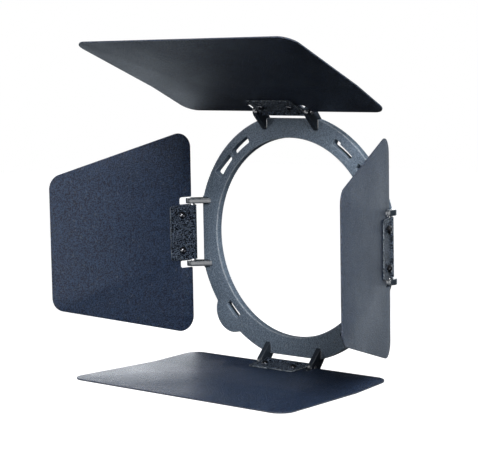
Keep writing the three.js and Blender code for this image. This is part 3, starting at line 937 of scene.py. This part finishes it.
def make_leaf(size):
    """A sheet with the hinge's rod along X, reaching along -Y, its outer face towards +Z."""
    leaf = rounded_plate([(leaf_outline(size), leaf_edge_round)], sheet, arc_steps=2)
    leaf.transform(Matrix.Translation((0, 0, -sheet / 2)))
    if size["angle"]:
        bend = math.radians(size["angle"])
        cuts = [size["crease"] + crease_softness * (k / 4 - 0.5) for k in range(5)]
        cut_across(leaf, (0, -1, 0), cuts)
        for vert in leaf.verts:
            past = -vert.co.y - (size["crease"] - crease_softness / 2)
            if past <= 0:
                continue
            turned = bend * min(1.0, past / crease_softness)
            beyond = max(0.0, past - crease_softness)
            radius = crease_softness / bend
            forward = radius * math.sin(turned) + beyond * math.cos(turned)
            inwards = radius * (1 - math.cos(turned)) + beyond * math.sin(turned)
            vert.co = (
                vert.co.x,
                crease_softness / 2 - size["crease"] - forward + vert.co.z * math.sin(turned),
                vert.co.z * math.cos(turned) - inwards,
            )
    return leaf


leaf_sizes = {"top": wide_leaf, "right": side_leaf, "bottom": wide_leaf, "left": side_leaf}
for side, size in leaf_sizes.items():
    leaf = add_piece(side + "_coated_leaf", [make_leaf(size)], hinges[side],
                     side + "_leaf_assembly", powder_coat, [side + "_leaf"])
    print(leaf.name, [round(1000 * v) for v in leaf.dimensions], "mm")

# %% [markdown]
# ## Clamps
#
# The clamp is a strip that leaves the leaf, necks in, wraps the rod and comes back on the leaf's
# other face. It is made as the press makes it: a flat blank with round corners, cut across at the
# bends and then laid along the path of its own middle line.

# %% The clamp's path
knuckle_room, flange_room = 0.2, 0.2
neck_inner_radius = 0.75
knuckle_middle = rod_radius + knuckle_room + sheet / 2
neck_middle = neck_inner_radius + sheet / 2
flange_middle = sheet / 2 + flange_room + sheet / 2
neck_offset = flange_middle + neck_middle
neck_reach = math.sqrt((knuckle_middle + neck_middle) ** 2 - neck_offset**2)
neck_turn = math.atan2(neck_offset, -neck_reach) - math.pi / 2
knuckle_turn = math.pi + 2 * neck_turn
clamp_reach = 28.5
clamp_length = 56.8
clamp_corner = 3.0
clamp_edge_round = 0.35
degrees_per_cut = 10

# Each stretch is (length, turn), with turns to the left counted as positive.
stretches = [
    (clamp_reach - neck_reach, 0.0),
    (neck_middle * neck_turn, neck_turn),
    (knuckle_middle * knuckle_turn, -knuckle_turn),
    (neck_middle * neck_turn, neck_turn),
    (clamp_reach - neck_reach, 0.0),
]
strip_length = sum(length for length, turn in stretches)


def along_strip(distance):
    """Place and heading on the strip's middle line, in the side view (x forward, y outwards)."""
    place, heading = Vector((clamp_reach, -flange_middle)), math.pi
    for length, turn in stretches:
        part = max(0.0, min(distance, length))
        if turn:
            radius = length / turn
            ahead = heading + turn * part / length
            place = place + radius * Vector((
                math.sin(ahead) - math.sin(heading), math.cos(heading) - math.cos(ahead)))
            heading = ahead
        else:
            place = place + part * Vector((math.cos(heading), math.sin(heading)))
        distance -= length
    return place, heading


strip_end = [round(v, 2) for v in along_strip(strip_length)[0]]
print("strip", round(strip_length, 1), "mm long, ends at", strip_end)

# %% Bend the strip
def make_clamp():
    """The blank, cut across at its bends and laid along its path."""
    half_length = clamp_length / 2
    blank = rounded_outline([
        (-half_length, 0, clamp_corner), (half_length, 0, clamp_corner),
        (half_length, strip_length, clamp_corner), (-half_length, strip_length, clamp_corner),
    ])
    clamp = rounded_plate([(blank, clamp_edge_round)], sheet, arc_steps=3)
    cuts, start_at = [], 0.0
    for length, turn in stretches:
        steps = max(1, round(abs(math.degrees(turn)) / degrees_per_cut))
        cuts += [start_at + length * k / steps for k in range(1, steps + 1)]
        start_at += length
    cut_across(clamp, (0, 1, 0), cuts[:-1])
    for vert in clamp.verts:
        place, heading = along_strip(vert.co.y)
        off = vert.co.z - sheet / 2
        forward = place.x - off * math.sin(heading)
        outwards = place.y + off * math.cos(heading)
        vert.co = (vert.co.x, -forward, outwards)
    bmesh.ops.recalc_face_normals(clamp, faces=clamp.faces)
    return clamp


for side in side_turns:
    clamp = add_piece(side + "_wrinkled_clamp", [make_clamp()], hinges[side],
                      side + "_leaf_assembly", wrinkle_coat,
                      [side + "_hinge_clamp"])
print(clamp.name, "has", len(clamp.data.polygons), "faces")

# %% [markdown]
# ## Turned parts
#
# Screws, nuts and rods are stacks of rings of points. A ring can be round or six-sided, so the
# socket in a screw's head and the flats of a nut come out of the same helper.

# %% Stacks of rings
def round_ring(radius):
    """Distance to a circle, the same in every direction."""
    return lambda turn: radius


def hexagon_ring(across):
    """Distance to a hexagon's side, for a hexagon that measures across from side to side."""
    return lambda turn: across / 2 / math.cos((turn + math.pi / 6) % (math.pi / 3) - math.pi / 6)


def stack(rings, steps=48, closed=False):
    """Joins rings of (reach, height) into a skin along Z. It is closed at the ends with a fan, or
    onto itself where closed is true."""
    body = bmesh.new()
    body.verts.layers.float.new("edge")
    rows = []
    for reach, height in rings:
        turns = [2 * math.pi * k / steps for k in range(steps)]
        rows.append([
            body.verts.new((reach(t) * math.cos(t), reach(t) * math.sin(t), height)) for t in turns
        ])
    pairs = list(zip(rows, rows[1:])) + ([(rows[-1], rows[0])] if closed else [])
    for low, high in pairs:
        for i in range(steps):
            body.faces.new((low[i - 1], low[i], high[i], high[i - 1]))
    if not closed:
        for end in (0, -1):
            row, height = rows[end], rings[end][1]
            middle = body.verts.new((0, 0, height))
            for i in range(steps):
                body.faces.new((row[i - 1], row[i], middle))
    bmesh.ops.recalc_face_normals(body, faces=body.faces)
    return body


sample = stack([(round_ring(1), 0), (hexagon_ring(1.8), 1)])
print("a round foot under a hexagon:", len(sample.faces), "faces")
sample.free()

# %% Screws
seat_room = 0.1
seat = flange_middle + sheet / 2 + seat_room
nut_across, nut_height = 7.0, 3.2
nut_top = seat + nut_height
head_radius, head_height = 3.8, 2.2
dome_radius, dome_start = 4.6, 1.6
socket_across, socket_depth = 2.5, 1.2
socket_floor_across, socket_mouth_across = socket_across - 0.2, socket_across + 0.25
thread_radius, thread_root_radius, thread_end_radius = 2.0, 1.72, 1.5
thread_step, thread_taper, thread_end = 0.3, 0.12, 0.9
slight_round = 0.12


def make_screw():
    """A button head on the inner face (-Z), its socket open towards the beam."""
    crown = -seat - head_height
    socket = hexagon_ring(socket_across)
    rings = [(hexagon_ring(socket_floor_across), crown + socket_depth),
             (socket, crown + socket_depth - 0.1),
             (socket, crown + slight_round), (hexagon_ring(socket_mouth_across), crown)]
    first, last = math.asin(dome_start / dome_radius), math.asin(head_radius / dome_radius)
    for k in range(9):
        turn = first + (last - first) * k / 8
        sunk = dome_radius * (math.cos(first) - math.cos(turn))
        rings.append((round_ring(dome_radius * math.sin(turn)), min(crown + sunk, -seat - 0.2)))
    rings += [(round_ring(head_radius), -seat - slight_round),
              (round_ring(head_radius - slight_round), -seat),
              (round_ring(thread_radius), -seat), (round_ring(thread_radius), nut_top)]
    for k in range(3):
        height = nut_top + 0.05 + thread_step * k
        crest = round_ring(thread_radius - thread_taper * k)
        rings += [(round_ring(thread_root_radius), height), (crest, height + thread_step / 2)]
    rings.append((round_ring(thread_end_radius), nut_top + thread_end))
    return stack(rings)


sample = make_screw()
print("a screw has", len(sample.faces), "faces")
sample.free()

# %% Nuts and rods
nut_face_radius = 3.35
nut_bore_radius = thread_radius + 0.12
countersink_radius, countersink_depth = 2.4, 0.25


def make_nut():
    """A hexagon nut on the outer face, its corners turned down by a cone at both ends."""
    flat = hexagon_ring(nut_across)
    corner = nut_across / math.sqrt(3)

    def coned(limit):
        return lambda turn: min(flat(turn), limit)

    cone = [(coned(limit), rise)
            for limit, rise in ((3.55, 0.12), (3.75, 0.24), (3.92, 0.36), (corner, 0.5))]
    rings = [(round_ring(nut_bore_radius), seat), (round_ring(nut_face_radius), seat)]
    rings += [(reach, seat + rise) for reach, rise in cone]
    rings += [(reach, nut_top - rise) for reach, rise in reversed(cone)]
    rings += [(round_ring(nut_face_radius), nut_top), (round_ring(countersink_radius), nut_top),
              (round_ring(nut_bore_radius), nut_top - countersink_depth)]
    return stack(rings, 72, closed=True)


def make_rod():
    """A rod along X with small chamfers, flush with the ears."""
    chamfer = 0.4
    tip, body = round_ring(rod_radius - chamfer), round_ring(rod_radius)
    rod = stack([(tip, -ear_outer), (body, -ear_outer + chamfer),
                 (body, ear_outer - chamfer), (tip, ear_outer)])
    rod.transform(Matrix.Rotation(math.pi / 2, 4, "Y"))
    return rod


for kind, make in (("nut", make_nut), ("rod", make_rod)):
    sample = make()
    print("a", kind, "has", len(sample.faces), "faces")
    sample.free()

# %% Put them in their places
screw_places = (-18.3, 18.3)
screw_forward = 14.0

for side in side_turns:
    add_piece(side + "_bright_rod", [make_rod()], rods[side], "ring", drawn_steel,
              [side + "_hinge_rod"])
    for mark, x in zip("ab", screw_places):
        place = hinges[side] @ Matrix.Translation((x / 1000, -screw_forward / 1000, 0))
        for kind, make in (("screw", make_screw), ("nut", make_nut)):
            add_piece(f"{side}_black_{kind}_{mark}", [make()], place, side + "_leaf_assembly",
                      black_screw_steel, [f"{side}_clamp_{kind}_{mark}"])

# %% [markdown]
# ## Finish
#
# The picture is shown as it is lit, with no look applied.

# %% Finish
bpy.context.scene.view_settings.view_transform = "Standard"
